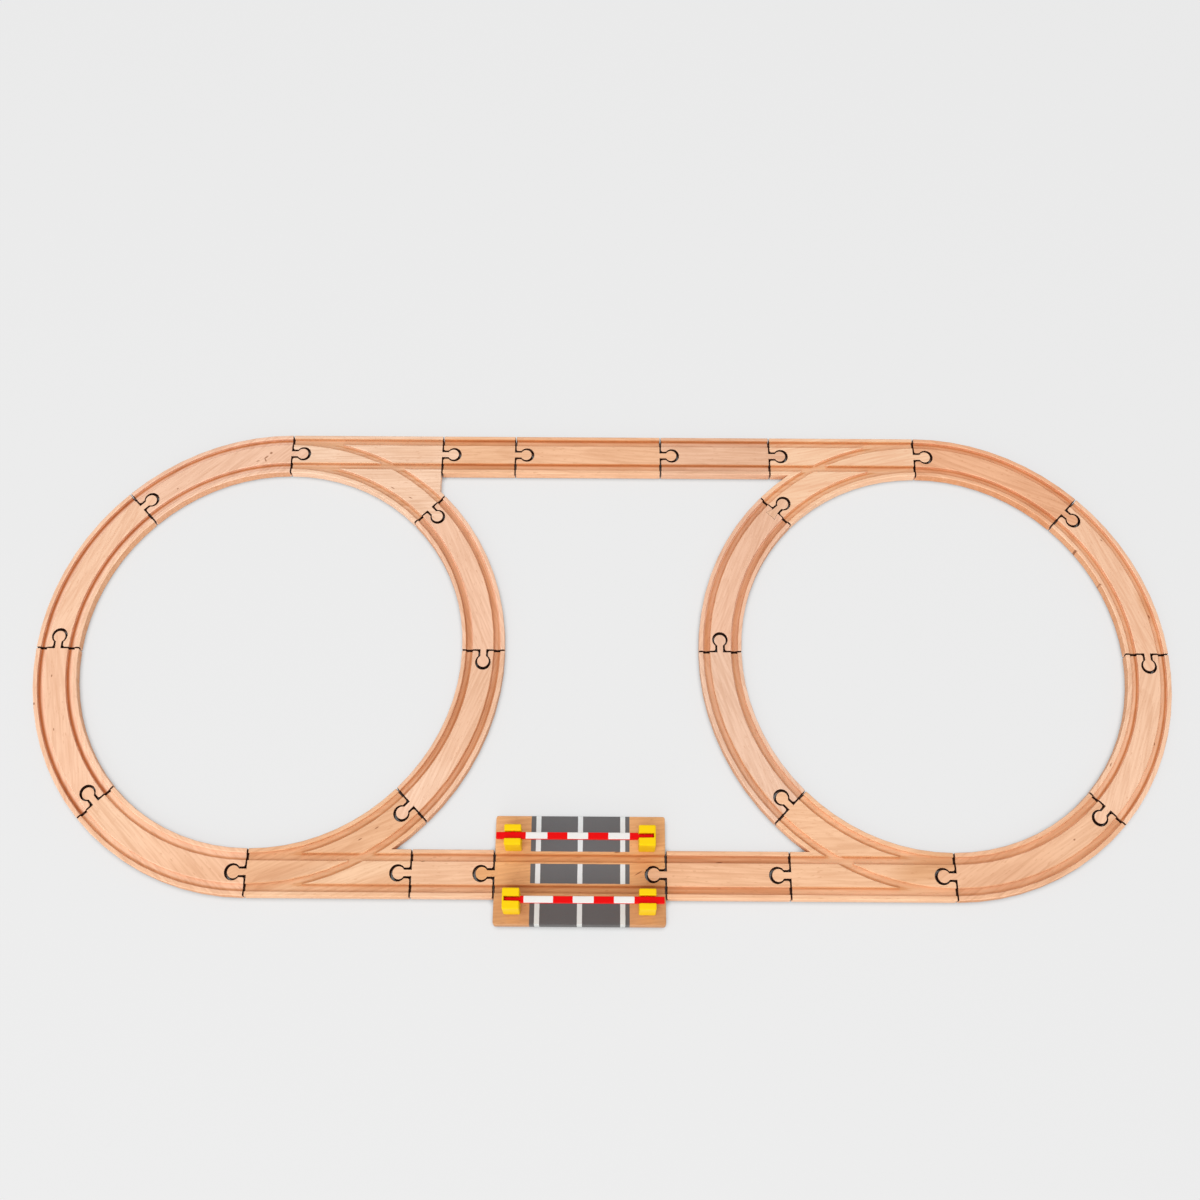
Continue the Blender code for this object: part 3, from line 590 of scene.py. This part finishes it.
def beech_figure(graph, node):
    """Places the shared figure for one piece, with its own pith, rings, tone, browning and painted shade,
    patches and marks.
    """
    low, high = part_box(node)
    colour = tinted(SLOT_COLOURS[NODE_SLOTS[node]], PIECE_TONE.get(node, PLAIN_TONE))
    across, depth, burn_and_shade = groove_masks(graph, node)
    floor_stain_and_shade, wall_stain_and_shade = GROOVE_STAIN_AND_SHADE[node]
    side_stain = CURVE_SIDE_STAIN if node in CURVE_PLACES else STRAIGHT_SIDE_STAIN
    used = graph.add("ShaderNodeGroup", node_tree=BEECH)
    values = {
        "Centre": tuple((low + high) / 2),
        "Turn": grain_turn(node),
        "Pith": (0.0, varied(node, 1, *PITH_ASIDE), varied(node, 2, *PITH_LEVEL)),
        "Lean": (0.0, varied(node, 3, *LEAN_ASIDE), varied(node, 4, *LEAN_UPWARD)),
        "Spacing": varied(node, 5, *RING_SPACING),
        "Seed": SEEDS[node],
        "Figure": varied(node, 6, *FIGURE_STRENGTH),
        "Tone": tinted(colour, LIGHT_TONE),
        "Shade": tinted(colour, DARK_TONE),
        "Across": across,
        "Inside": depth,
        "Burn": burn_and_shade,
        "Floor": stain_and_shade(floor_stain_and_shade / STREAK_MEAN),
        "Wall": stain_and_shade(wall_stain_and_shade - floor_stain_and_shade),
        "Side": stain_and_shade(side_stain),
    }
    for name, value in values.items():
        graph.feed(used.inputs[name], value)
    colour = used.outputs["Colour"]
    for *shape, tint in TONE_PATCHES.get(node, ()):
        colour = graph.tint(spindle(graph, shape, PATCH_HEART, PATCH_RIM), colour, opaque(tint))
    for shape in WOOD_MARKS.get(node, ()):
        colour = graph.tint(spindle(graph, shape, MARK_HEART, MARK_RIM), colour, MARK_TINT)
    return colour, used.outputs["Roughness"], used.outputs["Height"]


def beech_material(node):
    material, graph = new_material(node + "_beech")
    colour, roughness, height = beech_figure(graph, node)
    close_material(graph, colour, roughness, height, WOOD_BUMP, WOOD_SPECULAR)
    return material


# Paint on the crossing's board, in metres from the middle of the crossing

ROAD_HALF = 0.0435
# Each section of the road between the grooves: the middle of its length and half its length, along y.
ROAD_SECTIONS = ((0.0352, 0.0164), (0.00015, 0.00825), (-0.0345, 0.0115))
LINE_PLACES = (-0.037, 0.0, 0.0375)
LINE_HALF = 0.0022
ROAD_GREYS = ((0.118, 0.118, 0.122, 1.0), (0.158, 0.157, 0.158, 1.0))
LINE_WHITES = ((0.86, 0.90, 0.90, 1.0), (0.76, 0.80, 0.80, 1.0))
PAINT_SOFTNESS = 0.00018
PAINT_WANDER = 0.0004
PAINT_ROUGHNESS = 0.42
PAINT_BUMP = (0.15, 0.0003)
EDGE_NOISE = {"seed": 5.0, "scale": 160.0, "detail": 3.0}
GRIT_NOISE = {"seed": 9.0, "scale": 900.0, "detail": 3.0, "roughness": 0.6}
GRIT_ROUGHNESS = 0.2
GRIT_HEIGHT = 0.35
LINE_HEIGHT = 0.4
WEAR_SCALE = (60.0, 14.0, 60.0)
WEAR_SEED = 2.0

# The board is painted darker from its north edge to its south edge: painted shade.
SHADED_SOUTH = -0.040
UNSHADED_NORTH = 0.018
SOUTH_SHADE_TINT = (0.72, 0.66, 0.63, 1.0)
NO_SHADE_TINT = (1.0, 1.0, 1.0, 1.0)
SHADED_LINE_WHITE = (0.68, 0.69, 0.66, 1.0)


def crossing_place(graph, place, **noise):
    """Where a point lies from the middle of the crossing, shaken so that painted edges are not ruled."""
    shake = graph.vector("SUBTRACT", graph.noise(place, **noise)["Color"], NOISE_MEAN)
    shake = graph.vector("MULTIPLY", shake, (PAINT_WANDER,) * 3)
    shaken = graph.vector("ADD", place, shake)
    return graph.split(graph.vector("SUBTRACT", shaken, CROSSING_CENTRE))


def inside_bands(graph, value, bands):
    """How far a coordinate lies inside the nearest of some bands of given middle and half width."""
    deepest = None
    for middle, half in bands:
        off_middle = graph.math("ABSOLUTE", graph.math("SUBTRACT", value, middle))
        reach = graph.math("SUBTRACT", half, off_middle)
        deepest = reach if deepest is None else graph.math("MAXIMUM", deepest, reach)
    return deepest


def painted(graph, distance):
    return graph.between(distance, -PAINT_SOFTNESS, PAINT_SOFTNESS)


def board_material(node):
    material, graph = new_material("crossing_board_paint")
    colour, roughness, height = beech_figure(graph, node)
    place = graph.place()
    x, y = crossing_place(graph, place, **EDGE_NOISE)[:2]
    lengthwise = inside_bands(graph, y, ROAD_SECTIONS)
    widthwise = inside_bands(graph, x, [(0.0, ROAD_HALF)])
    road = painted(graph, graph.math("MINIMUM", lengthwise, widthwise))
    lines = inside_bands(graph, x, [(middle, LINE_HALF) for middle in LINE_PLACES])
    line = graph.math("MULTIPLY", painted(graph, lines), road)

    grit = graph.noise(place, **GRIT_NOISE)["Fac"]
    wear = graph.stretched_noise(place, WEAR_SCALE, WEAR_SEED, detail=3.0)
    uneven = graph.math("MULTIPLY_ADD", grit, 0.5, graph.math("MULTIPLY", wear, 0.5))
    colour = graph.blend(road, colour, graph.blend(uneven, *ROAD_GREYS))
    # Painted shade, growing towards the south edge of the board, on wood, road and lines.
    south_shade = graph.between(y, UNSHADED_NORTH, SHADED_SOUTH)
    colour = graph.tint(1.0, colour, graph.blend(south_shade, NO_SHADE_TINT, SOUTH_SHADE_TINT))
    white = graph.blend(uneven, *LINE_WHITES)
    colour = graph.blend(line, colour, graph.blend(south_shade, white, SHADED_LINE_WHITE))
    paint_roughness = graph.math("MULTIPLY_ADD", grit, GRIT_ROUGHNESS, PAINT_ROUGHNESS)
    roughness = graph.add("ShaderNodeMix", None, road, None, roughness, paint_roughness).outputs[0]
    film = graph.math("MULTIPLY_ADD", line, LINE_HEIGHT, road)
    film = graph.math("MULTIPLY_ADD", grit, GRIT_HEIGHT, film)
    height = graph.math("ADD", height, film)
    close_material(graph, colour, roughness, height, PAINT_BUMP, WOOD_SPECULAR)
    return material


# Moulded plastic

PLASTIC_SPECULAR = 0.08
PEBBLE_SCALE = 2600.0
FLOW_HEIGHT = 0.5
POST_FLOW_SCALE = 55.0
POST_BRIGHT = (1.03, 1.06, 1.0)
POST_DEEP = (0.97, 0.92, 1.0)
POST_RIM_HIGHLIGHT_TINT = (1.0, 1.06, 1.2, 1.0)
POST_ROUGHNESS = 0.40
POST_BUMP = (0.02, 0.0002)
SCUFF_SCALE = (900.0, 160.0, 160.0)
SCUFF_LEVELS = (0.55, 0.8)
SCUFF_ROUGHNESS = 0.14
ARM_FLOW_SCALE = 70.0
ARM_BRIGHT = (1.10, 0.3, 0.3)
ARM_DEEP = (1.02, 0.2, 0.2)
ARM_WHITES = ((0.88, 0.85, 0.82, 1.0), (0.79, 0.76, 0.73, 1.0))
ARM_ROUGHNESS = 0.36
ARM_PEBBLE_ROUGHNESS = 0.12
ARM_BUMP = (0.03, 0.0002)
BAND_NOISE_SCALE = 300.0

# White bands on the arms: start and end, in metres from the middle of the crossing.
WHITE_BANDS = {
    "north_barrier_arm": ((-0.0472, -0.0284), (-0.0109, 0.0070), (0.0247, 0.0433)),
    "south_barrier_arm": ((0.0297, 0.0471), (-0.0055, 0.0123), (-0.0475, -0.0224)),
}


def yellow_material(node):
    material, graph = new_material(node + "_yellow")
    place = graph.place()
    seed = SEEDS[node]
    flow = graph.noise(place, seed, scale=POST_FLOW_SCALE)["Fac"]
    pebble = graph.noise(place, seed, scale=PEBBLE_SCALE)["Fac"]
    scuff = graph.between(graph.stretched_noise(place, SCUFF_SCALE, seed), *SCUFF_LEVELS)
    base = SLOT_COLOURS[NODE_SLOTS[node]]
    colour = graph.blend(flow, tinted(base, POST_BRIGHT), tinted(base, POST_DEEP))
    # Rounded edges of the post are painted paler: a painted highlight.
    colour = graph.tint(graph.attribute("edge"), colour, POST_RIM_HIGHLIGHT_TINT)
    roughness = graph.math("MULTIPLY_ADD", scuff, SCUFF_ROUGHNESS, POST_ROUGHNESS)
    height = graph.math("MULTIPLY_ADD", flow, FLOW_HEIGHT, pebble)
    close_material(graph, colour, roughness, height, POST_BUMP, PLASTIC_SPECULAR)
    return material


def arm_material(node):
    material, graph = new_material(node + "_bands")
    place = graph.place()
    seed = SEEDS[node]
    x = crossing_place(graph, place, seed=seed, scale=BAND_NOISE_SCALE)[0]
    bands = [((start + end) / 2, (end - start) / 2) for start, end in WHITE_BANDS[node]]
    band = graph.math("MULTIPLY", painted(graph, inside_bands(graph, x, bands)), graph.attribute("top"))
    flow = graph.noise(place, seed, scale=ARM_FLOW_SCALE)["Fac"]
    pebble = graph.noise(place, seed, scale=PEBBLE_SCALE)["Fac"]
    base = SLOT_COLOURS[NODE_SLOTS[node]]
    red = graph.blend(flow, tinted(base, ARM_BRIGHT), tinted(base, ARM_DEEP))
    colour = graph.blend(band, red, graph.blend(flow, *ARM_WHITES))
    roughness = graph.math("MULTIPLY_ADD", pebble, ARM_PEBBLE_ROUGHNESS, ARM_ROUGHNESS)
    height = graph.math("ADD", graph.math("MULTIPLY_ADD", flow, FLOW_HEIGHT, pebble), band)
    close_material(graph, colour, roughness, height, ARM_BUMP, PLASTIC_SPECULAR)
    return material


# Shapes

# The rounding of an edge follows the room beside it, and the tips of the turnouts stay as they are.
TIP_TURN = math.radians(125.0)
ROOM_SHARE = 0.45
ROOM_LEAST = 1.2
WIDTH_SAMPLES = (0.04, 0.25, 0.5, 0.75, 0.96)
NO_WIDTH = 1.0
NARROW = 0.0032
SHORT_EDGE = 0.003
ALONG = 0.9
ROUNDED_SLOT = 1
EAST = Vector((1.0, 0.0, 0.0))
NORTH = Vector((0.0, 1.0, 0.0))
UP = Vector((0.0, 0.0, 1.0))


def face_width(face, edge):
    """How far a flat face reaches straight in from one of its edges, at the narrowest of a few places."""
    start, end = (vert.co for vert in edge.verts)
    along = (end - start).normalized()
    inward = face.normal.cross(along)
    if not leads_along(face, edge):
        inward = -inward
    width = NO_WIDTH
    for share in WIDTH_SAMPLES:
        point = start.lerp(end, share)
        for other in face.edges:
            if other is edge:
                continue
            near, far = (vert.co - point for vert in other.verts)
            side_near = near.dot(along)
            side_far = far.dot(along)
            if side_near * side_far > 0.0 or side_near == side_far:
                continue
            reach = near.lerp(far, side_near / (side_near - side_far)).dot(inward)
            if reach > WELD_DISTANCE:
                width = min(width, reach)
    return width


def leads_along(face, edge):
    """Whether the face's own round runs along the edge from its first vertex to its second."""
    for corner in face.loops:
        if corner.edge == edge:
            return corner.vert == edge.verts[0]
    return True


def outward(edge, least):
    return len(edge.link_faces) == 2 and edge.calc_face_angle_signed() > least


def under_post(node, edge):
    """Whether an edge of the crossing's plank is covered by a post."""
    if node != "level_crossing_board":
        return False
    middle = (edge.verts[0].co + edge.verts[1].co) / 2.0
    for post in POSTS:
        low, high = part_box(post)
        if low.x < middle.x < high.x and low.y < middle.y < high.y:
            return True
    return False


def split_narrow_edges(work):
    """Cuts long edges beside narrow land into short lengths, so that the rounding can follow the width."""
    long_edges = [
        edge for edge in work.edges
        if outward(edge, SHARP_ANGLE) and edge.calc_length() > 2.0 * SHORT_EDGE
        and min(face_width(face, edge) for face in edge.link_faces) < NARROW
    ]
    for edge in long_edges:
        cuts = int(edge.calc_length() / SHORT_EDGE)
        bmesh.ops.subdivide_edges(work, edges=[edge], cuts=cuts)


def opening_cuts(node):
    """Where to cut a piece level with its openings: a point, the way across, the way the faces look."""
    if node.endswith("_pivot_post") or node.endswith("_barrier_arm"):
        low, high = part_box(node.replace("pivot_post", "barrier_arm"))
        return [((low + high) / 2.0, UP, NORTH)]
    if node == "level_crossing_board":
        return [(sum(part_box(post), Vector()) / 2.0, EAST, UP) for post in POSTS]
    return []


def keep_cut(work, point, across, facing):
    """Cuts a piece and keeps the cut on faces that look one way, to join an opening to the rim."""
    geometry = work.verts[:] + work.edges[:] + work.faces[:]
    cut = bmesh.ops.bisect_plane(work, geom=geometry, dist=WELD_DISTANCE, plane_co=point, plane_no=across)
    for edge in cut["geom_cut"]:
        if isinstance(edge, bmesh.types.BMEdge):
            edge.seam = all(abs(face.normal.dot(facing)) > ALONG for face in edge.link_faces)


def softened(node, name, rounding, steps, least_turn):
    """A copy of a node with its flat faces joined up and its outward edges rounded over."""
    work = bmesh.new()
    work.from_mesh(frame["nodes"][node].data)
    bmesh.ops.remove_doubles(work, verts=work.verts, dist=WELD_DISTANCE)
    for point, across, facing in opening_cuts(node):
        keep_cut(work, point, across, facing)
    bmesh.ops.dissolve_limit(
        work, angle_limit=FLAT_ANGLE, verts=work.verts, edges=work.edges, delimit={"SEAM"},
    )
    if node.endswith("_turnout"):
        split_narrow_edges(work)
    weights = work.edges.layers.float.new("bevel_weight_edge")
    for edge in work.edges:
        if outward(edge, least_turn) and not outward(edge, TIP_TURN) and not under_post(node, edge):
            room = min(face_width(face, edge) for face in edge.link_faces) / rounding
            edge[weights] = max(0.0, min(1.0, ROOM_SHARE * (room - ROOM_LEAST)))
    mesh = bpy.data.meshes.new(name)
    work.to_mesh(mesh)
    work.free()
    mesh.materials.append(None)
    mesh.materials.append(None)
    mesh.shade_smooth()
    piece = bpy.data.objects.new(name, mesh)
    bpy.context.scene.collection.objects.link(piece)
    bevel = piece.modifiers.new("rounding", "BEVEL")
    bevel.width = rounding
    bevel.segments = steps
    bevel.limit_method = "WEIGHT"
    bevel.use_clamp_overlap = False
    bevel.material = ROUNDED_SLOT
    settle(piece)
    keep_sharp(piece.data, least_turn)
    even = piece.modifiers.new("even", "WEIGHTED_NORMAL")
    even.keep_sharp = True
    settle(piece)
    return piece


def keep_sharp(mesh, least_turn):
    """Keeps the edges that turn more than a given angle sharp, and the rest smooth."""
    work = bmesh.new()
    work.from_mesh(mesh)
    for edge in work.edges:
        edge.smooth = edge.calc_face_angle(0.0) < least_turn
    work.to_mesh(mesh)
    work.free()


def settle(piece):
    """Gives a piece the mesh that its modifiers make, and clears them."""
    bpy.context.view_layer.update()
    graph = bpy.context.evaluated_depsgraph_get()
    before = piece.data
    piece.data = bpy.data.meshes.new_from_object(
        piece.evaluated_get(graph), preserve_all_data_layers=True, depsgraph=graph,
    )
    piece.modifiers.clear()
    bpy.data.meshes.remove(before)
    piece.data.name = piece.name


# Telling faces apart: slack in level, the steepest upright normal, and how near a butting neighbour is.
LEVEL_SLACK = 0.0004
UPRIGHT = 0.2
BUTT_REACH = 0.0035
BUTT_START = 0.0001


def neighbours_of(node):
    """The wooden pieces around a node, as one surface to cast rays at."""
    points = []
    faces = []
    for other, held in frame["nodes"].items():
        if other == node or not NODE_SLOTS[other].endswith("beech"):
            continue
        first = len(points)
        points.extend(vert.co.copy() for vert in held.data.vertices)
        faces.extend([first + index for index in face.vertices] for face in held.data.polygons)
    return BVHTree.FromPolygons(points, faces)


def spread_over_edges(work, marks, edge):
    """Carries a mark from flat faces onto the rounded edges beside them."""
    for _ in range(WOOD_STEPS):
        grown = [
            face.index for face in work.faces
            if edge[face.index] and not marks[face.index] and any(
                marks[other.index] for side in face.edges for other in side.link_faces
            )
        ]
        for index in grown:
            marks[index] = 1.0


def mark_faces(piece, node):
    """Marks grooves, rounded edges, butting ends, other sides and top faces for the material."""
    mesh = piece.data
    work = bmesh.new()
    work.from_mesh(mesh)
    work.faces.ensure_lookup_table()
    around = neighbours_of(node)
    groove = [0.0] * len(work.faces)
    butt = [0.0] * len(work.faces)
    side = [0.0] * len(work.faces)
    edge = [float(face.material_index) for face in work.faces]
    top = [1.0 if face.normal.z > UPRIGHT else 0.0 for face in work.faces]
    for face in work.faces:
        lowest = min(vert.co.z for vert in face.verts)
        highest = max(vert.co.z for vert in face.verts)
        if edge[face.index] or face.normal.z < -UPRIGHT:
            continue
        starts_in_groove = GROOVE_FLOOR - LEVEL_SLACK < lowest < TRACK_TOP - LEVEL_SLACK
        if starts_in_groove and highest < TRACK_TOP + LEVEL_SLACK:
            groove[face.index] = 1.0
        elif face.normal.z < UPRIGHT:
            start = face.calc_center_median() + face.normal * BUTT_START
            hit = around.ray_cast(start, face.normal, BUTT_REACH)
            butt[face.index] = 1.0 if hit[0] else 0.0
            side[face.index] = 0.0 if hit[0] else 1.0
    spread_over_edges(work, groove, edge)
    spread_over_edges(work, butt, edge)
    work.free()
    marks = {"groove": groove, "edge": edge, "butt": butt, "side": side, "top": top}
    for name, values in marks.items():
        layer = mesh.attributes.new(name, "FLOAT", "FACE")
        layer.data.foreach_set("value", values)
    mesh.polygons.foreach_set("material_index", [0] * len(mesh.polygons))


def dress(node, ending, material, rounding, steps, least_turn):
    piece = softened(node, node + ending, rounding, steps, least_turn)
    mark_faces(piece, node)
    piece.data.materials.clear()
    piece.data.materials.append(material)
    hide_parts(node)
    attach(piece, NODE_BODIES[node])


for node in sorted(NODE_SLOTS):
    if node.endswith("_post"):
        dress(node, "_moulding", yellow_material(node), PLASTIC_ROUNDING, PLASTIC_STEPS, POST_SHARP_ANGLE)
    elif node.endswith("_arm"):
        dress(node, "_bar", arm_material(node), PLASTIC_ROUNDING, PLASTIC_STEPS, SHARP_ANGLE)
    elif node == "level_crossing_board":
        dress(node, "_plank", board_material(node), WOOD_ROUNDING, WOOD_STEPS, SHARP_ANGLE)
    else:
        dress(node, "_wood", beech_material(node), WOOD_ROUNDING, WOOD_STEPS, SHARP_ANGLE)


# Stage

def add_floor():
    mesh = bpy.data.meshes.new("floor")
    turns = ((-1, -1), (1, -1), (1, 1), (-1, 1))
    corners = [(x * FLOOR_HALF, y * FLOOR_HALF, FLOOR_LEVEL) for x, y in turns]
    mesh.from_pydata(corners, [], [(0, 1, 2, 3)])
    floor = bpy.data.objects.new("floor", mesh)
    bpy.context.scene.collection.objects.link(floor)
    material, graph = new_material("floor_paper")
    path = graph.add("ShaderNodeLightPath").outputs
    seen = graph.math("MAXIMUM", path["Is Camera Ray"], path["Is Glossy Ray"])
    seen = graph.math("MAXIMUM", seen, path["Is Transmission Ray"])
    even = graph.math("MULTIPLY", seen, FLOOR_EVENNESS)
    grey = (FLOOR_GREY, FLOOR_GREY, FLOOR_GREY, 1.0)
    # The glow of the floor is darkened next to the track: a painted contact shadow.
    lit = graph.between(graph.occlusion(CONTACT_REACH, CONTACT_SAMPLES), 0.0, FLOOR_OPEN)
    paper = graph.add("ShaderNodeBsdfDiffuse", {"Color": grey}).outputs[0]
    glow = graph.add("ShaderNodeEmission", {"Color": grey, "Strength": lit}).outputs[0]
    mixed = graph.add("ShaderNodeMixShader", None, even, paper, glow).outputs[0]
    out = graph.add("ShaderNodeOutputMaterial")
    graph.feed(out.inputs["Surface"], mixed)
    mesh.materials.append(material)


def add_lamp(name, place, size, power):
    data = bpy.data.lights.new(name, "AREA")
    data.shape = "SQUARE"
    data.size = size
    data.energy = power
    lamp = bpy.data.objects.new(name, data)
    lamp.location = place
    lamp.rotation_euler = (-Vector(place)).to_track_quat("-Z", "Y").to_euler()
    bpy.context.scene.collection.objects.link(lamp)


def add_sky():
    world = bpy.data.worlds.new("studio")
    bpy.context.scene.world = world
    world.use_nodes = True
    world.node_tree.nodes.clear()
    graph = Graph(world.node_tree)
    seen = graph.add("ShaderNodeLightPath").outputs["Is Camera Ray"]
    level = graph.add("ShaderNodeMix", None, seen, None, SKY_LEVEL, FLOOR_GREY).outputs[0]
    back = graph.add("ShaderNodeBackground", {"Color": (1.0, 1.0, 1.0, 1.0), "Strength": level})
    out = graph.add("ShaderNodeOutputWorld")
    graph.feed(out.inputs["Surface"], back.outputs[0])


def add_camera():
    data = bpy.data.cameras.new("camera")
    data.sensor_fit = "HORIZONTAL"
    data.sensor_width = SENSOR_WIDTH
    data.lens = FOCAL_PIXELS / IMAGE_SIZE * SENSOR_WIDTH
    data.shift_y = (AXIS_ROW - IMAGE_SIZE / 2) / IMAGE_SIZE
    data.clip_start = CLIP_START
    data.clip_end = CLIP_END
    camera = bpy.data.objects.new("camera", data)
    camera.location = CAMERA_PLACE
    camera.rotation_euler = (math.radians(CAMERA_PITCH), 0.0, math.radians(CAMERA_TURN))
    bpy.context.scene.collection.objects.link(camera)
    bpy.context.scene.camera = camera


add_floor()
add_sky()
for lamp in LAMPS:
    add_lamp(*lamp)
add_camera()
bpy.context.scene.view_settings.view_transform = "Standard"

bpy.context.view_layer.update()
